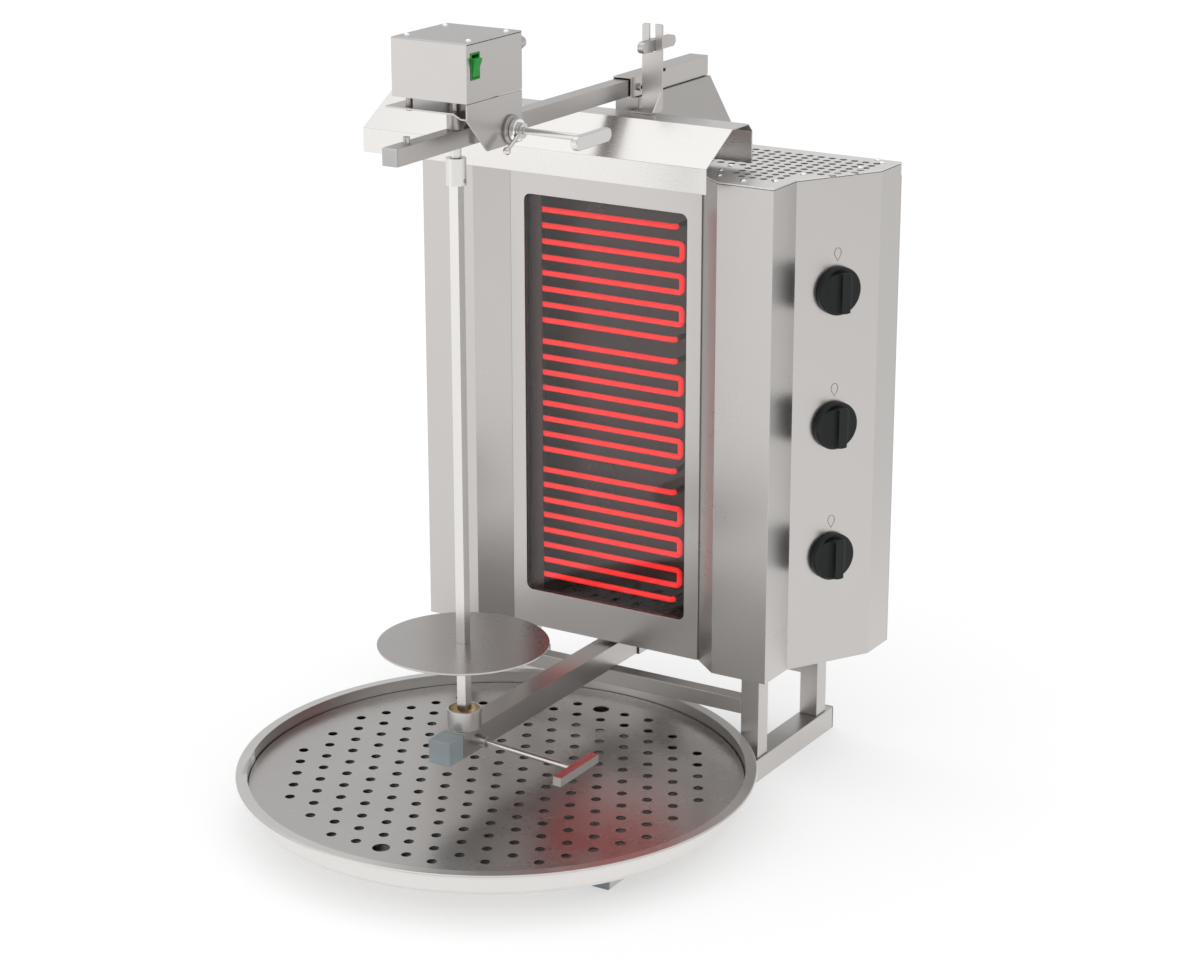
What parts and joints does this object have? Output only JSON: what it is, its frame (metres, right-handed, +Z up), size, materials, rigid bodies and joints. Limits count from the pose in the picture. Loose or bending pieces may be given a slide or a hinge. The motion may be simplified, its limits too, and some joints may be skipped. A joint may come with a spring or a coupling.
{
  "type": "electric skewer grill",
  "caption": "Upright electric grill with a motor-driven vertical skewer before a steel cabinet of glowing heating bars, a deck hood and a round drip tray.",
  "frame": {"origin": "middle of the outline's foot, on the surface the base rails stand on", "axes": "+Z up, +Y from the drip tray to the back of the cabinet, +X to the side with the knobs"},
  "size_m": [0.637, 0.863, 0.9691],
  "materials": {
    "steel": "satin",
    "bright_steel": "polished",
    "dark_steel": "satin",
    "chrome": "polished",
    "black_plastic": "satin",
    "grey_plastic": "matte",
    "white_plastic": "satin",
    "green_plastic": "gloss",
    "heating_bar": "glowing",
    "recess": "matte",
    "ceramic": "matte",
    "brass": "satin"
  },
  "bodies": {
    "cabinet": {"base_rails": "steel", "rail_caps": "grey_plastic", "legs": "steel", "cross_rails": "steel", "lower_guide": "steel", "floor_plate": "steel", "front_panel": "steel", "left_casing": "steel", "right_casing": "steel", "rear_panel": "steel", "top_deck": "dark_steel", "reflector": "recess", "element_top": "heating_bar", "element_middle": "heating_bar", "element_bottom": "heating_bar", "bar_holder": "recess", "terminal_blocks": "ceramic", "regulators": "black_plastic", "mains_gland": "black_plastic", "hood": "bright_steel", "arm_pedestal": "dark_steel", "arm_sleeve": "steel", "hanger_plate": "dark_steel", "latch_pin": "chrome"},
    "upper_arm": {"upper_arm": "steel", "upper_arm_plug": "white_plastic", "carriage_shelf": "dark_steel", "carriage_plate": "steel", "carriage_saddle": "dark_steel", "shaft_bushing": "dark_steel", "clamp_flange": "dark_steel", "clamp_collar": "chrome", "standoffs": "chrome", "motor_box": "steel", "motor_lid": "steel", "lid_screws": "chrome", "gearmotor": "dark_steel", "rocker_frame": "green_plastic", "cable_gland": "black_plastic"},
    "spindle": {"output_shaft": "chrome", "coupling_socket": "bright_steel", "cross_pin": "chrome", "skewer": "bright_steel", "meat_disc": "chrome"},
    "lower_arm": {"lower_arm": "steel", "lower_arm_cap": "grey_plastic", "bearing_cup": "bright_steel", "bearing_bush": "brass"},
    "clamp_lever": {"clamp_lever": "chrome"},
    "clamp_handle": {"clamp_handle": "chrome"},
    "lower_clamp_handle": {"lower_clamp_handle": "bright_steel"},
    "rocker": {"rocker": "green_plastic"},
    "latch_bar": {"latch_bar": "steel"},
    "knob_top": {"knob_top": "black_plastic"},
    "knob_middle": {"knob_middle": "black_plastic"},
    "knob_bottom": {"knob_bottom": "black_plastic"},
    "drip_tray": {"drip_tray": "bright_steel"},
    "perforated_insert": {"perforated_insert": "bright_steel", "insert_rim": "bright_steel"}
  },
  "joints": [
    {"name": "upper_arm_slide", "type": "slide", "parent": "cabinet", "child": "upper_arm", "axis": [0, 1, 0], "range_m": [0, 0.12]},
    {"name": "lower_arm_slide", "type": "slide", "parent": "cabinet", "child": "lower_arm", "axis": [0, 1, 0], "range_m": [0, 0.12]},
    {"name": "spindle_turn", "type": "hinge", "parent": "upper_arm", "child": "spindle", "pos_m": [0, -0.1825, 0.54], "axis": [0, 0, 1], "continuous": true},
    {"name": "clamp_lever_turn", "type": "hinge", "parent": "upper_arm", "child": "clamp_lever", "pos_m": [0.062, -0.1455, 0.858], "axis": [1, 0, 0], "range_deg": [-45, 60]},
    {"name": "clamp_handle_turn", "type": "hinge", "parent": "upper_arm", "child": "clamp_handle", "pos_m": [0.1, -0.1455, 0.858], "axis": [1, 0, 0], "range_deg": [-180, 180]},
    {"name": "lower_clamp_turn", "type": "hinge", "parent": "lower_arm", "child": "lower_clamp_handle", "pos_m": [0.015, -0.1805, 0.122], "axis": [0.9982, 0, -0.0593], "range_deg": [-180, 180]},
    {"name": "rocker_tilt", "type": "hinge", "parent": "upper_arm", "child": "rocker", "pos_m": [0.046, -0.2165, 0.94], "axis": [0, -1, 0], "range_deg": [0, 28]},
    {"name": "latch_swing", "type": "hinge", "parent": "cabinet", "child": "latch_bar", "pos_m": [0.034, 0.209, 0.9023], "axis": [-1, 0, 0], "range_deg": [0, 90]},
    {"name": "drip_tray_slide", "type": "slide", "parent": "cabinet", "child": "drip_tray", "axis": [0, -1, 0], "range_m": [0, 0.2]},
    {"name": "insert_lift", "type": "slide", "parent": "drip_tray", "child": "perforated_insert", "axis": [0, 0, 1], "range_m": [0, 0.02]},
    {"name": "knob_bottom_turn", "type": "hinge", "parent": "cabinet", "child": "knob_bottom", "pos_m": [0.28005, 0.2221, 0.282], "axis": [0.8635, -0.5044, 0], "range_deg": [0, 300]},
    {"name": "knob_middle_turn", "type": "hinge", "parent": "cabinet", "child": "knob_middle", "pos_m": [0.28005, 0.2221, 0.4521], "axis": [0.8635, -0.5044, 0], "range_deg": [0, 300]},
    {"name": "knob_top_turn", "type": "hinge", "parent": "cabinet", "child": "knob_top", "pos_m": [0.28005, 0.2221, 0.6222], "axis": [0.8635, -0.5044, 0], "range_deg": [0, 300]}
  ],
  "couplings": [
    {"joint": "lower_arm_slide", "follows": "upper_arm_slide", "ratio": 1}
  ]
}
